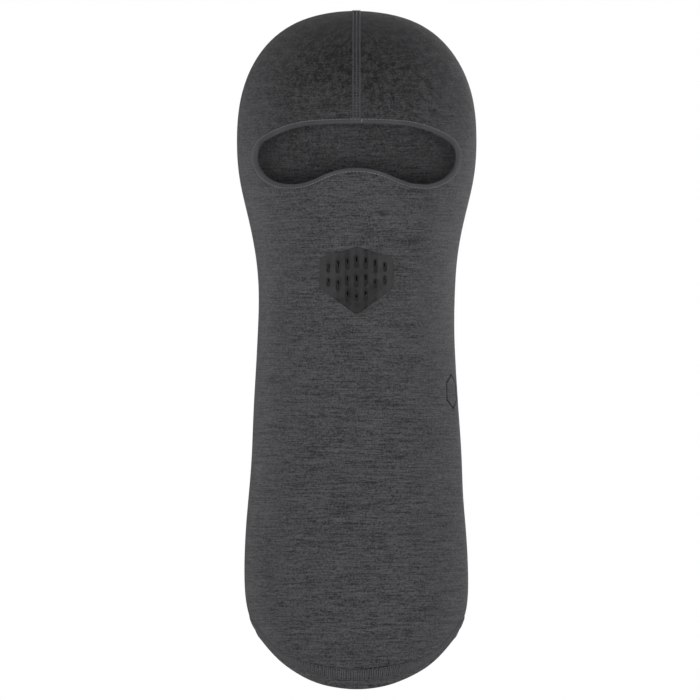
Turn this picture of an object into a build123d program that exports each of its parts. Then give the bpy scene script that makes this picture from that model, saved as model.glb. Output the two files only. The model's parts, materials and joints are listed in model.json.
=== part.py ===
from build123d import *
import os
from math import cos, radians, sin, tan

# A knitted balaclava in its worn shape, with nobody inside it. Millimetres.
# +Z up, the face looks along -Y, and the origin is the inside of the crown,
# where the top of a head touches the cloth.

# ---- driving dimensions ----------------------------------------------------
FABRIC = 1.0            # thickness of the merino jersey
HEAD_HALF_WIDTH = 79.2  # the widest section of the hood, above the ears
HEAD_DROP = 86.4        # how far that section lies below the crown

HEM_FRONT_DROP = 447.0  # from the crown down to the lowest point of the bib
HEM_BACK_DROP = 415.0   # from the crown down to the level hem of the sides and back
HEM_SLOPE = 31.0        # how steeply the hem dips to the bib, in degrees, seen from the side
HEM_BLEND = 60.0        # radius between the sloping hem and the level one
HEM_FOLD = 14.0         # height of the turned-up edge
HEM_BAND_LOW = 6.0      # lower needle line, above the folded edge
HEM_BAND_HIGH = 13.0    # upper needle line, above the folded edge

EYE_TOP_DROP = 73.2     # middle of the binding, above the nose
BINDING_WIDTH = 3.1     # elastic tape folded over the edge of the eye opening
BINDING_PLY = 0.7       # thickness of one ply of that tape

STITCH = 0.35           # height of sewing thread above what it is sewn on
THREAD = 0.6            # width of one line of sewing thread

TACK_X = 3.4            # bar of thread over the tape's join, left of the crown seam
TACK_WIDTH = 1.1
TACK_LENGTH = 1.7

SEAM_WIDTH = 5.4        # flatlock seam over the crown
SEAM_CORD = 1.0         # width of each of its three needle lines
CORD_RAISE = 0.55       # height of those lines above the cloth
SEAM_BACK_DROP = 36.0   # where the seam ends on the back of the head

PATCH_FILM = 0.6        # thickness of the vent patch
GLUE = 0.15             # thickness of its adhesive film
GLUE_INSET = 0.5        # how far that film stops short of the patch's edge
PATCH_HALF_WIDTH = 24.2
PATCH_DROP = 178.0      # middle of the patch, in front of the mouth
PATCH_UP = 22.2         # from the middle up to its top corner
PATCH_DOWN = 22.6       # from the middle down to its bottom corner
PATCH_SHOULDER = 15.0   # from the middle up to its upper side corners
PATCH_WAIST = 4.8       # from the middle down to its lower side corners
PATCH_CORNER = 4.0
SLOT_WIDTH = 2.3
SLOT_PITCH = 6.15

MARK_DROP = 251.0       # a plain heat transfer on the side of the neck
MARK_ANGLE = 65.0       # how far round from the front it sits, in degrees
MARK_HEIGHT = 24.0
MARK_STROKE = 1.6
MARK_FILM = 0.15

FAR = 130.0             # reach of the cutting shapes, past all of the cloth

# ---- the worn form ---------------------------------------------------------
# Level sections of the outside: how far below the crown, half width, and the
# y of the front, of the widest line and of the back.
DOME = [
    (1.0, 15.0, -15.0, 5.0, 25.0),
    (4.6, 31.6, -34.0, 5.0, 46.0),
    (12.5, 47.9, -53.0, 6.0, 65.0),
    (27.1, 63.0, -71.0, 8.0, 82.0),
    (42.9, 72.0, -82.5, 10.0, 92.5),
    (58.7, 76.9, -90.5, 11.0, 98.5),
    (HEAD_DROP, HEAD_HALF_WIDTH, -100.0, 11.0, 101.5),
]
WALL = [
    (114.0, 76.6, -105.0, 9.0, 99.5),
    (138.0, 70.8, -106.0, 5.0, 91.0),
    (164.0, 65.8, -104.0, 1.0, 79.0),
    (197.0, 64.3, -97.0, -2.0, 69.0),
    (240.0, 66.0, -86.0, -3.0, 65.5),
    (280.0, 68.3, -80.0, -3.0, 66.0),
    (320.0, 71.0, -78.0, -3.0, 68.0),
    (376.0, 74.2, -77.5, -2.0, 71.0),
    (397.0, 72.4, -77.8, -2.0, 71.5),
    (411.0, 68.4, -78.0, -2.0, 72.0),
    (430.0, 65.2, -78.4, -2.0, 72.0),
    (455.0, 63.5, -79.0, -2.0, 72.0),
]
DOME_MID = DOME[-1][3]
HEM_FRONT_Y = -78.7

# The middle line of the binding, right half, as tangent arcs from the top
# round to the lowest point: radius and how far each turns, in degrees. From
# there it turns back up by the last angle, runs straight, and crosses the nose.
EYE_ARCS = [(420.0, 3.8), (75.0, 26.2), (14.0, 60.0), (19.0, 60.0), (28.0, 30.0), (40.0, 24.0)]
NOSE_RADIUS = 52.0

# The slots of the vent patch, column by column from the left: the middle of
# each slot above the middle of the patch, and its length.
SLOT_COLUMNS = [
    [(8.1, 5.9), (-1.2, 5.9)],
    [(9.0, 8.6), (-3.2, 7.3)],
    [(11.0, 7.3), (-0.2, 6.9), (-10.3, 7.0)],
    [(12.3, 7.7), (-0.5, 7.9), (-11.1, 4.2)],
    [(11.5, 7.9), (0.5, 7.4), (-9.8, 6.3)],
    [(9.5, 9.0), (-1.8, 6.2)],
    [(9.0, 6.4), (0.3, 5.9)],
]


def height(drop):
    """The z of a level that lies drop below the outside of the crown."""
    return FABRIC - drop


# ---- shapes that the pieces are cut from -----------------------------------
def level_section(level, half_width, front, mid, back):
    """Two half ellipses that meet on the widest line, as a face at z = level."""
    with BuildSketch(Plane.XY.offset(level)) as outline:
        with BuildLine():
            EllipticalCenterArc((0, mid), half_width, mid - front, 180, arc_size=180)
            EllipticalCenterArc((0, mid), half_width, back - mid, 0, arc_size=180)
        make_face()
    return outline.sketch


def worn_form(grow):
    """Everything inside the cloth's outer surface, with that surface moved out by grow."""
    half_depth = (DOME[-1][4] - DOME[-1][2]) / 2
    wide = 1 + grow / HEAD_HALF_WIDTH
    deep = 1 + grow / half_depth
    tall = 1 + grow / HEAD_DROP
    tip = height(HEAD_DROP - HEAD_DROP * tall)
    faces = []
    for drop, half_width, *depths in DOME:
        level = height(HEAD_DROP - (HEAD_DROP - drop) * tall)
        front, mid, back = [DOME_MID + (y - DOME_MID) * deep for y in depths]
        faces.append(level_section(level, half_width * wide, front, mid, back))
    for drop, half_width, front, mid, back in WALL:
        faces.append(level_section(height(drop), half_width + grow, front - grow, mid, back + grow))
    with BuildPart() as form:
        loft(sections=[Vertex(0, DOME[0][3], tip)] + faces)
    return form.part


def below_hem(lift):
    """Everything under the hem line, which is level but for the dip to the bib."""
    slope = tan(radians(HEM_SLOPE))
    front_z = height(HEM_FRONT_DROP) - slope * (HEM_FRONT_Y + FAR) + lift
    back_z = height(HEM_BACK_DROP) + lift
    bend_y = HEM_FRONT_Y + (HEM_FRONT_DROP - HEM_BACK_DROP) / slope
    floor_z = front_z - FAR
    with BuildPart() as under:
        with BuildSketch(Plane.YZ):
            with BuildLine():
                FilletPolyline((-FAR, front_z), (bend_y, back_z), (FAR, back_z), radius=HEM_BLEND)
                Polyline((FAR, back_z), (FAR, floor_z), (-FAR, floor_z), (-FAR, front_z))
            make_face()
        extrude(amount=FAR, both=True)
    return under.part


def eye_prism(grow):
    """The eye opening out to grow past the binding's middle line, cut forwards."""
    rise = EYE_ARCS[-1][1]
    with BuildPart() as prism:
        with BuildSketch(Plane.XZ):
            with BuildLine() as half:
                end, heading = Vector(0, height(EYE_TOP_DROP) + grow), Vector(1, 0)
                for radius, turn in EYE_ARCS:
                    arc = JernArc(end, heading, radius + grow, -turn)
                    end, heading = arc @ 1, arc % 1
                straight = (end.X - (NOSE_RADIUS - grow) * sin(radians(rise))) / cos(radians(rise))
                flank = Line(end, end + heading * straight)
                JernArc(flank @ 1, heading, NOSE_RADIUS - grow, rise)
                mirror(half.line, about=Plane.YZ)
            make_face()
        extrude(amount=FAR)
    return prism.part


def patch_prism(inset):
    """The six-sided outline of the vent patch, drawn in by inset and cut forwards."""
    middle = height(PATCH_DROP)
    with BuildPart() as prism:
        with BuildSketch(Plane.XZ) as outline:
            with BuildLine():
                Polyline(
                    (0, middle + PATCH_UP),
                    (PATCH_HALF_WIDTH, middle + PATCH_SHOULDER),
                    (PATCH_HALF_WIDTH, middle - PATCH_WAIST),
                    (0, middle - PATCH_DOWN),
                    (-PATCH_HALF_WIDTH, middle - PATCH_WAIST),
                    (-PATCH_HALF_WIDTH, middle + PATCH_SHOULDER),
                    close=True,
                )
            make_face()
            fillet(outline.vertices(), radius=PATCH_CORNER)
            offset(amount=-inset)
        extrude(amount=FAR)
    return prism.part


def slot_prisms():
    """All seventeen slots of the vent patch, cut forwards."""
    middle_column = (len(SLOT_COLUMNS) - 1) / 2
    with BuildPart() as prisms:
        with BuildSketch(Plane.XZ):
            for column, slots in enumerate(SLOT_COLUMNS):
                x = (column - middle_column) * SLOT_PITCH
                for up, length in slots:
                    with Locations((x, height(PATCH_DROP) + up)):
                        SlotOverall(length, SLOT_WIDTH, rotation=90)
        extrude(amount=FAR)
    return prisms.part


def seam_slab(left, right):
    """The stretch of the crown seam between two x: down to the binding, and down the back."""
    front_low = height(EYE_TOP_DROP - BINDING_WIDTH / 2)
    back_low = height(SEAM_BACK_DROP)
    high = height(-FAR)
    with BuildPart() as slab:
        with BuildSketch(Plane.YZ.offset(left)):
            with BuildLine():
                Polyline(
                    (-FAR, front_low),
                    (DOME_MID, front_low),
                    (DOME_MID, back_low),
                    (FAR, back_low),
                    (FAR, high),
                    (-FAR, high),
                    close=True,
                )
            make_face()
        extrude(amount=right - left)
    return slab.part


def mark_prism():
    """A plain six-sided ring, cut outwards through the side of the neck."""
    outwards = Vector(0, -1, 0).rotate(Axis.Z, MARK_ANGLE)
    across = Vector(1, 0, 0).rotate(Axis.Z, MARK_ANGLE)
    side = Plane(origin=(0, 0, height(MARK_DROP)), x_dir=across, z_dir=outwards)
    with BuildPart() as prism:
        with BuildSketch(side):
            RegularPolygon(MARK_HEIGHT / 2, 6, rotation=30)
            RegularPolygon(MARK_HEIGHT / 2 - MARK_STROKE, 6, rotation=30, mode=Mode.SUBTRACT)
        extrude(amount=FAR)
    return prism.part


def ring(outer, inner):
    """A prism with a smaller prism taken out of it."""
    with BuildPart() as frame:
        add(outer)
        add(inner, mode=Mode.SUBTRACT)
    return frame.part


def hem_zone(low, high):
    """The stretch of the tube between two heights above the folded edge."""
    return ring(below_hem(high), below_hem(low))


def keep(piece, name):
    """Names a finished piece and writes it."""
    piece.part.label = name
    export_step(piece.part, f"parts/{name}.step")


os.makedirs("parts", exist_ok=True)

# The surfaces that the thin pieces lie between.
cloth_out = worn_form(0)
cloth_in = worn_form(-FABRIC)
thread_out = worn_form(STITCH)
thread_in = worn_form(-FABRIC - STITCH)
tape_out = worn_form(BINDING_PLY)
tape_in = worn_form(-FABRIC - BINDING_PLY)

# ---- the cloth ---------------------------------------------------------------
BINDING_HALF = BINDING_WIDTH / 2

with BuildPart() as knit_tube:
    add(cloth_out)
    add(cloth_in, mode=Mode.SUBTRACT)
    add(below_hem(0), mode=Mode.SUBTRACT)
    add(eye_prism(BINDING_PLY - BINDING_HALF), mode=Mode.SUBTRACT)
    add(slot_prisms(), mode=Mode.SUBTRACT)
keep(knit_tube, "knit_tube")

fold_in = worn_form(-2 * FABRIC)
with BuildPart() as hem_fold:
    add(cloth_in)
    add(fold_in, mode=Mode.SUBTRACT)
    add(hem_zone(0, HEM_FOLD), mode=Mode.INTERSECT)
keep(hem_fold, "hem_fold")

# ---- the crown seam: three needle lines, two ladders and the inner cover -------
cord_out = worn_form(CORD_RAISE)
cord_starts = {
    "crown_cord_right": -SEAM_WIDTH / 2,
    "crown_cord_middle": -SEAM_CORD / 2,
    "crown_cord_left": SEAM_WIDTH / 2 - SEAM_CORD,
}
for name, start in cord_starts.items():
    with BuildPart() as crown_cord:
        add(cord_out)
        add(cloth_out, mode=Mode.SUBTRACT)
        add(seam_slab(start, start + SEAM_CORD), mode=Mode.INTERSECT)
    keep(crown_cord, name)

LADDER_WIDTH = (SEAM_WIDTH - 3 * SEAM_CORD) / 2
ladder_starts = {
    "crown_ladder_right": -SEAM_CORD / 2 - LADDER_WIDTH,
    "crown_ladder_left": SEAM_CORD / 2,
}
for name, start in ladder_starts.items():
    with BuildPart() as crown_ladder:
        add(thread_out)
        add(cloth_out, mode=Mode.SUBTRACT)
        add(seam_slab(start, start + LADDER_WIDTH), mode=Mode.INTERSECT)
    keep(crown_ladder, name)

with BuildPart() as crown_inner_thread:
    add(cloth_in)
    add(thread_in, mode=Mode.SUBTRACT)
    add(seam_slab(-SEAM_WIDTH / 2, SEAM_WIDTH / 2), mode=Mode.INTERSECT)
keep(crown_inner_thread, "crown_inner_thread")

# ---- the binding of the eye opening, folded over the cloth's edge ---------------
with BuildPart() as eye_binding:
    add(tape_out)
    add(tape_in, mode=Mode.SUBTRACT)
    add(ring(eye_prism(BINDING_HALF), eye_prism(-BINDING_HALF)), mode=Mode.INTERSECT)
    add(knit_tube.part, mode=Mode.SUBTRACT)
keep(eye_binding, "eye_binding")

STITCH_OUTER = BINDING_HALF - THREAD / 2
stitch_line = ring(eye_prism(STITCH_OUTER), eye_prism(STITCH_OUTER - THREAD))
stitch_top = worn_form(BINDING_PLY + STITCH)
with BuildPart() as binding_stitch_front:
    add(stitch_top)
    add(tape_out, mode=Mode.SUBTRACT)
    add(stitch_line, mode=Mode.INTERSECT)
keep(binding_stitch_front, "binding_stitch_front")

stitch_under = worn_form(-FABRIC - BINDING_PLY - STITCH)
with BuildPart() as binding_stitch_back:
    add(tape_in)
    add(stitch_under, mode=Mode.SUBTRACT)
    add(stitch_line, mode=Mode.INTERSECT)
keep(binding_stitch_back, "binding_stitch_back")

# A short bar of thread locks the tape's overlap, just beside the crown seam.
tack_high = height(EYE_TOP_DROP) + STITCH_OUTER - THREAD
with BuildPart() as binding_join_tack:
    with BuildSketch(Plane.XZ):
        with Locations((TACK_X, tack_high - TACK_LENGTH / 2 - THREAD / 4)):
            RectangleRounded(TACK_WIDTH, TACK_LENGTH, TACK_WIDTH / 3)
    extrude(amount=FAR)
    add(stitch_top, mode=Mode.INTERSECT)
    add(tape_out, mode=Mode.SUBTRACT)
keep(binding_join_tack, "binding_join_tack")

# ---- the vent patch in front of the mouth ----------------------------------------
glue_out = worn_form(GLUE)
with BuildPart() as vent_patch_glue:
    add(glue_out)
    add(cloth_out, mode=Mode.SUBTRACT)
    add(patch_prism(GLUE_INSET), mode=Mode.INTERSECT)
    add(slot_prisms(), mode=Mode.SUBTRACT)
keep(vent_patch_glue, "vent_patch_glue")

film_out = worn_form(GLUE + PATCH_FILM)
with BuildPart() as vent_patch:
    add(film_out)
    add(glue_out, mode=Mode.SUBTRACT)
    add(patch_prism(0), mode=Mode.INTERSECT)
    add(slot_prisms(), mode=Mode.SUBTRACT)
keep(vent_patch, "vent_patch")

# ---- the hem's stitching: two needle lines, the bars between, and the inner thread --
hem_lines = {
    "hem_needle_thread_low": (HEM_BAND_LOW, HEM_BAND_LOW + THREAD),
    "hem_looper_thread": (HEM_BAND_LOW + THREAD, HEM_BAND_HIGH - THREAD),
    "hem_needle_thread_high": (HEM_BAND_HIGH - THREAD, HEM_BAND_HIGH),
}
for name, (low, high) in hem_lines.items():
    with BuildPart() as hem_thread:
        add(thread_out)
        add(cloth_out, mode=Mode.SUBTRACT)
        add(hem_zone(low, high), mode=Mode.INTERSECT)
    keep(hem_thread, name)

fold_thread = worn_form(-2 * FABRIC - STITCH)
with BuildPart() as hem_inner_thread:
    add(fold_in)
    add(fold_thread, mode=Mode.SUBTRACT)
    add(hem_zone(HEM_BAND_LOW, HEM_BAND_HIGH), mode=Mode.INTERSECT)
keep(hem_inner_thread, "hem_inner_thread")

# ---- a plain heat transfer on the side of the neck ---------------------------------
mark_out = worn_form(MARK_FILM)
with BuildPart() as transfer_mark:
    add(mark_out)
    add(cloth_out, mode=Mode.SUBTRACT)
    add(mark_prism(), mode=Mode.INTERSECT)
keep(transfer_mark, "transfer_mark")
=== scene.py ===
import json
import math
import random

import bpy
import numpy as np
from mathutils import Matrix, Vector
from mathutils.geometry import delaunay_2d_cdt

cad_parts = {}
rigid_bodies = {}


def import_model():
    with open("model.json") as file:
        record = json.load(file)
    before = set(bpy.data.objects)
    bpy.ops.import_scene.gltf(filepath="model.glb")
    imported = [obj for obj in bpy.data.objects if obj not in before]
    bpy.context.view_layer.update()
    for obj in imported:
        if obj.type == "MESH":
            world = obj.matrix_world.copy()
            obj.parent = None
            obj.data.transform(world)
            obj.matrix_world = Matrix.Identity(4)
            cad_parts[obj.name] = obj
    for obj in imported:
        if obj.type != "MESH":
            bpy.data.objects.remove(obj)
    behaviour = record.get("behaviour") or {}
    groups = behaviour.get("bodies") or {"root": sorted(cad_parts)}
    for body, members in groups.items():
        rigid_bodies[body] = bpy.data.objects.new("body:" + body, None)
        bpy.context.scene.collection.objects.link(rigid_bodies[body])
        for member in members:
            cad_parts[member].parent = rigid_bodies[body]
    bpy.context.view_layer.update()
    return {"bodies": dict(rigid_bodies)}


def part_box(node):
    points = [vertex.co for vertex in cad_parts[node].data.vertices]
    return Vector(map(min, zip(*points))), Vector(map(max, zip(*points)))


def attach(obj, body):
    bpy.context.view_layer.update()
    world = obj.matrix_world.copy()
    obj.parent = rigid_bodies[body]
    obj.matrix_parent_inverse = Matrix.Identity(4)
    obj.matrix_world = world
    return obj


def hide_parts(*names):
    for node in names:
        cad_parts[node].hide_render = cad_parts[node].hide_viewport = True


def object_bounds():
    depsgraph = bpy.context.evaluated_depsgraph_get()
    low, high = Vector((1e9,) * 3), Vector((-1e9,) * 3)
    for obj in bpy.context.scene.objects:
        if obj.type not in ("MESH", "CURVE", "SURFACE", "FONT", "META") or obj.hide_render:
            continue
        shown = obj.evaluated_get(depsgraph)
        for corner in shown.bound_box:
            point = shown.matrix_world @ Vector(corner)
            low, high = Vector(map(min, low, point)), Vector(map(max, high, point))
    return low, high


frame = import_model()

# A knitted balaclava in its worn shape. Lengths in this script are millimetres
# until a mesh is written; METRE turns them into metres.
METRE = 0.001
random.seed(11)
chance = np.random.default_rng(11)


def node_box(name):
    """Lowest and highest corner of a CAD node, in millimetres."""
    low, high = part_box(name)
    return np.array(low) / METRE, np.array(high) / METRE


# ---- driving dimensions ------------------------------------------------------
TUBE_LOW, TUBE_HIGH = node_box("knit_tube")
CROWN = TUBE_HIGH[2]             # the highest point of the cloth's outside
FABRIC = 1.0                     # thickness of the jersey
HEAD_DROP = 86.4                 # the widest level of the hood, below the crown
HEAD_HALF_WIDTH = 79.2
HEAD_HALF_DEPTH = 100.75

# Level sections of the outside: drop below the crown, half width, and the y of
# the front, of the widest line and of the back.
TIP_Y = 5.0
SECTIONS = [
    (1.0, 15.0, -15.0, 5.0, 25.0),
    (4.6, 31.6, -34.0, 5.0, 46.0),
    (12.5, 47.9, -53.0, 6.0, 65.0),
    (27.1, 63.0, -71.0, 8.0, 82.0),
    (42.9, 72.0, -82.5, 10.0, 92.5),
    (58.7, 76.9, -90.5, 11.0, 98.5),
    (HEAD_DROP, HEAD_HALF_WIDTH, -100.0, 11.0, 101.5),
    (114.0, 76.6, -105.0, 9.0, 99.5),
    (138.0, 70.8, -106.0, 5.0, 91.0),
    (164.0, 65.8, -104.0, 1.0, 79.0),
    (197.0, 64.3, -97.0, -2.0, 69.0),
    (240.0, 66.0, -86.0, -3.0, 65.5),
    (280.0, 68.3, -80.0, -3.0, 66.0),
    (320.0, 71.0, -78.0, -3.0, 68.0),
    (376.0, 74.2, -77.5, -2.0, 71.0),
    (390.0, 73.4, -77.7, -2.0, 71.4),
    (399.0, 71.6, -77.8, -2.0, 71.5),
    (407.0, 68.7, -77.9, -2.0, 71.6),
    (415.0, 65.6, -78.0, -2.0, 71.6),
    (430.0, 61.5, -78.4, -2.0, 71.7),
    (455.0, 58.0, -79.0, -2.0, 71.8),
]
DOME_MID = 11.0

HEM_OUTLINE_DROP = 382.1         # the bib's lower edge is half an ellipse, seen from the front
HEM_OUTLINE_DEPTH = 64.7
HEM_OUTLINE_HALF = 74.25
HEM_BACK_DROP = 412.5            # the level edge of the sides and the back
HEM_ROLL = 13.0                  # height over which the edge curls inwards
HEM_CREASE = 0.4                 # share of that turn that happens at the upper needle line
HEM_FOLD = 14.0                  # height of the turned-up edge
FOLD_RADIUS = 1.1
LINE_LOW = 6.3                   # the two needle lines, above the edge
LINE_HIGH = 12.7

BINDING_HALF = 1.55
EYE_TOP_DROP = 73.2
EYE_ARCS = [(420.0, 3.8), (75.0, 26.2), (14.0, 60.0), (19.0, 60.0), (28.0, 30.0), (40.0, 24.0)]
NOSE_RADIUS = 52.0
CLOTH_GROW = -0.85               # the cloth's raw edge, inside the folded binding

PATCH_LOW, PATCH_HIGH = node_box("vent_patch")
PATCH_HALF_WIDTH = (PATCH_HIGH[0] - PATCH_LOW[0]) / 2
PATCH_Z = CROWN - 178.0
PATCH_UP = 22.2
PATCH_DOWN = 22.6
PATCH_SHOULDER = 15.0
PATCH_WAIST = 4.8
PATCH_CORNER = 4.0
SLOT_RADIUS = 1.15
SLOT_PITCH = 6.15
SLOT_COLUMNS = [
    [(8.1, 5.9), (-1.2, 5.9)],
    [(9.0, 8.6), (-3.2, 7.3)],
    [(11.0, 7.3), (-0.2, 6.9), (-10.3, 7.0)],
    [(12.3, 7.7), (-0.5, 7.9), (-11.1, 4.2)],
    [(11.5, 7.9), (0.5, 7.4), (-9.8, 6.3)],
    [(9.5, 9.0), (-1.8, 6.2)],
    [(9.0, 6.4), (0.3, 5.9)],
]

MARK_Z = CROWN - 251.0
MARK_ANGLE = math.radians(65.0)
MARK_RADIUS = 12.0
MARK_STROKE = 1.6

SEAM_BACK_DROP = 36.0
CORD_X = (-2.2, 0.0, 2.2)
LADDER_X = (-1.1, 1.1)

COLUMNS = 240
WALL_ROWS = 120
DOME_ROWS = 50
KNIT_RADIUS = 71.43              # of the tube as knitted: the wales are evenly spaced round it
WALE = 2 * math.pi * KNIT_RADIUS / 528
COURSE = 0.64


# ---- the worn form -------------------------------------------------------------
def smooth_table(knots, values, samples):
    """A natural cubic spline through the values, sampled."""
    knots, values = np.array(knots), np.array(values)
    count, gaps = len(knots), np.diff(knots)
    matrix, right = np.eye(count), np.zeros(count)
    for k in range(1, count - 1):
        matrix[k, k - 1:k + 2] = gaps[k - 1], 2 * (gaps[k - 1] + gaps[k]), gaps[k]
        right[k] = 6 * ((values[k + 1] - values[k]) / gaps[k] - (values[k] - values[k - 1]) / gaps[k - 1])
    bend = np.linalg.solve(matrix, right)
    k = np.clip(np.searchsorted(knots, samples) - 1, 0, count - 2)
    near, far, gap = samples - knots[k], knots[k + 1] - samples, gaps[k]
    cubic = (bend[k] * far ** 3 + bend[k + 1] * near ** 3) / (6 * gap)
    return cubic + (values[k] / gap - bend[k] * gap / 6) * far + (values[k + 1] / gap - bend[k + 1] * gap / 6) * near


# The sections are spaced by the root of the drop, which makes the crown round.
ROOTS = np.linspace(0, math.sqrt(SECTIONS[-1][0]), 4000)
section_roots = [math.sqrt(row[0]) for row in SECTIONS]
both_sides = [-r for r in reversed(section_roots)] + [0.0] + section_roots


def mirrored_table(values, at_tip, sign):
    mirrored = [sign * v for v in reversed(values)] + [at_tip] + list(values)
    return smooth_table(both_sides, mirrored, ROOTS)


HALF = mirrored_table([row[1] for row in SECTIONS], 0.0, -1)
FRONT = mirrored_table([row[3] - row[2] for row in SECTIONS], 0.0, -1)
BACK = mirrored_table([row[4] - row[3] for row in SECTIONS], 0.0, -1)
MID = mirrored_table([row[3] for row in SECTIONS], TIP_Y, 1)


def section(root):
    """Half width, front reach, back reach and middle y where the drop is root squared."""
    return [np.interp(root, ROOTS, table) for table in (HALF, FRONT, BACK, MID)]


def outside(x, y, root):
    """Above zero outside the level section, below zero inside it."""
    half, front, back, mid = section(root)
    reach = np.where(y < mid, front, back)
    return (x / half) ** 2 + ((y - mid) / reach) ** 2 - 1


def normal_at(points):
    """Outward directions of the worn form."""
    x, y, z = points.T
    root = np.sqrt(np.maximum(CROWN - z, 0.004))
    half, front, back, mid = section(root)
    reach = np.where(y < mid, front, back)
    step = 0.02
    low = np.maximum(root - step, 0.03)
    slope = (outside(x, y, root + step) - outside(x, y, low)) / (root + step - low)
    out = np.stack([2 * x / half ** 2, 2 * (y - mid) / reach ** 2, -slope / (2 * root)], 1)
    out[root < 0.12] = (0, 0, 1)
    return out / np.linalg.norm(out, axis=1)[:, None]


# Slow undulations of the cloth: quieter on the hood, which is drawn tight.
WAVES = []
for wave in range(14):
    length = chance.uniform(34, 120)
    way = chance.normal(size=3) * (1.0, 1.0, 0.75)
    way *= 2 * math.pi / length / np.linalg.norm(way)
    WAVES.append((way, chance.uniform(0, 2 * math.pi), 0.0021 * length))


def smoothstep(low, high, value):
    t = np.clip((value - low) / (high - low), 0, 1)
    return t * t * (3 - 2 * t)


def relief(points):
    """How far the cloth stands off the plain form, in millimetres."""
    total = np.zeros(len(points))
    for way, phase, size in WAVES:
        total += size * np.sin(points @ way + phase)
    drop = CROWN - points[:, 2]
    loose = 0.35 + 0.65 * smoothstep(110, 220, drop)
    total *= loose
    # A short crease across the back of the head, seen through the eye opening.
    behind = points[:, 1] > 20
    crease = np.exp(-((drop - 85.5 - 0.0045 * points[:, 0] ** 2) / 2.4) ** 2 - (points[:, 0] / 17) ** 2)
    total -= 0.8 * crease * behind
    # Small puckers run away from the binding, which draws the cloth in.
    near = (points[:, 1] < -10) & (drop > 45) & (drop < 165)
    if near.any():
        flat = points[near][:, [0, 2]]
        gap = np.linalg.norm(flat[:, None] - EYE_LINE[None], axis=2)
        run = EYE_RUN[np.argmin(gap, axis=1)]
        swing = np.sin(2 * math.pi * run / 12.5 + 2.4 * np.sin(run / 19.0))
        patches = 0.25 + 0.75 * np.sin(run / 27.0 + 0.6) ** 2
        total[near] += 0.46 * np.exp(-gap.min(1) / 10.0) * swing * patches * smoothstep(0.5, 7, gap.min(1))
    return total


def lifted(points, normals, lift):
    """Points on the cloth, moved off it by lift."""
    return points + normals * (relief(points) + lift)[:, None]


def front_points(x, z, lift=0.0):
    """Points of the front of the cloth that lie at x and z."""
    half, front, back, mid = section(np.sqrt(CROWN - z))
    y = mid - front * np.sqrt(np.maximum(1 - (x / half) ** 2, 0))
    points = np.stack([x, y, z], 1)
    return lifted(points, normal_at(points), lift)


# ---- the wall and its hem ------------------------------------------------------
def wall_points(angle, drop):
    half, front, back, mid = section(np.sqrt(drop))
    reach = np.where(np.cos(angle) > 0, front, back)
    return np.stack([half * np.sin(angle), mid - reach * np.cos(angle), CROWN - drop], -1)


def level_outward(angle, drop):
    half, front, back, mid = section(np.sqrt(drop))
    reach = np.where(np.cos(angle) > 0, front, back)
    way = np.stack([np.sin(angle) / half, -np.cos(angle) / reach, np.zeros_like(angle)], -1)
    return way / np.linalg.norm(way, axis=-1)[..., None]


def roll_turn(angle):
    """How far the hem's edge turns inwards: little at the bib, most at its sides."""
    away = np.abs(np.degrees(angle))
    return 0.16 + 0.44 * smoothstep(8, 42, away) - 0.54 * smoothstep(52, 82, away)


def rolled(angle, along):
    """How far the edge has gone inwards and down, that far past the start of its roll."""
    steps = (np.arange(24) + 0.5) / 24
    path = np.asarray(along)[..., None] * steps
    crease = HEM_CREASE * np.minimum(path / 1.6, 1)
    bend = roll_turn(angle)[..., None] * (crease + (1 - HEM_CREASE) * path / HEM_ROLL)
    return np.sin(bend).mean(-1) * along, np.cos(bend).mean(-1) * along


def edge_drop(angle):
    """The drop of the hem's lowest point, so that its outline from the front is the bib's."""
    inwards, down = rolled(angle, np.full_like(angle, HEM_ROLL))
    low, high = np.full_like(angle, 384.0), np.full_like(angle, 447.5)
    for halving in range(40):
        drop = (low + high) / 2
        x = wall_points(angle, drop)[..., 0] - inwards * level_outward(angle, drop)[..., 0]
        share = np.clip(1 - (x / HEM_OUTLINE_HALF) ** 2, 0, 1)
        wanted = HEM_OUTLINE_DROP + HEM_OUTLINE_DEPTH * np.sqrt(share)
        low = np.where(drop < wanted, drop, low)
        high = np.where(drop < wanted, high, drop)
    outline = np.where(np.abs(angle) < math.pi / 2, (low + high) / 2, 380.0)
    softness = 3.5
    return HEM_BACK_DROP + softness * np.logaddexp(0, (outline - HEM_BACK_DROP) / softness)


FINE_ANGLES = np.linspace(-math.pi, math.pi, 2881)
START_DROPS = edge_drop(FINE_ANGLES) - rolled(FINE_ANGLES, np.full_like(FINE_ANGLES, HEM_ROLL))[1]


def hem_points(angle, up):
    """Points of the cloth's outside at a height up above the hem's lowest point."""
    start = np.interp(angle, FINE_ANGLES, START_DROPS)
    inwards, down = rolled(angle, np.maximum(HEM_ROLL - up, 0))
    drop = start + down - np.maximum(up - HEM_ROLL, 0)
    return wall_points(angle, drop) - inwards[..., None] * level_outward(angle, drop)


def wrapped(angle):
    return (angle + math.pi) % (2 * math.pi) - math.pi


def hem_frame(angle, up):
    """Points, outward directions and upward directions of the hem."""
    points = hem_points(wrapped(angle), up)
    upwards = hem_points(wrapped(angle), up + 0.1) - hem_points(wrapped(angle), up - 0.1)
    step = 0.004
    around = hem_points(wrapped(angle + step), up) - hem_points(wrapped(angle - step), up)
    out = np.cross(around, upwards)
    out /= np.linalg.norm(out, axis=-1)[..., None]
    upwards /= np.linalg.norm(upwards, axis=-1)[..., None]
    return points, out, upwards


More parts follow.
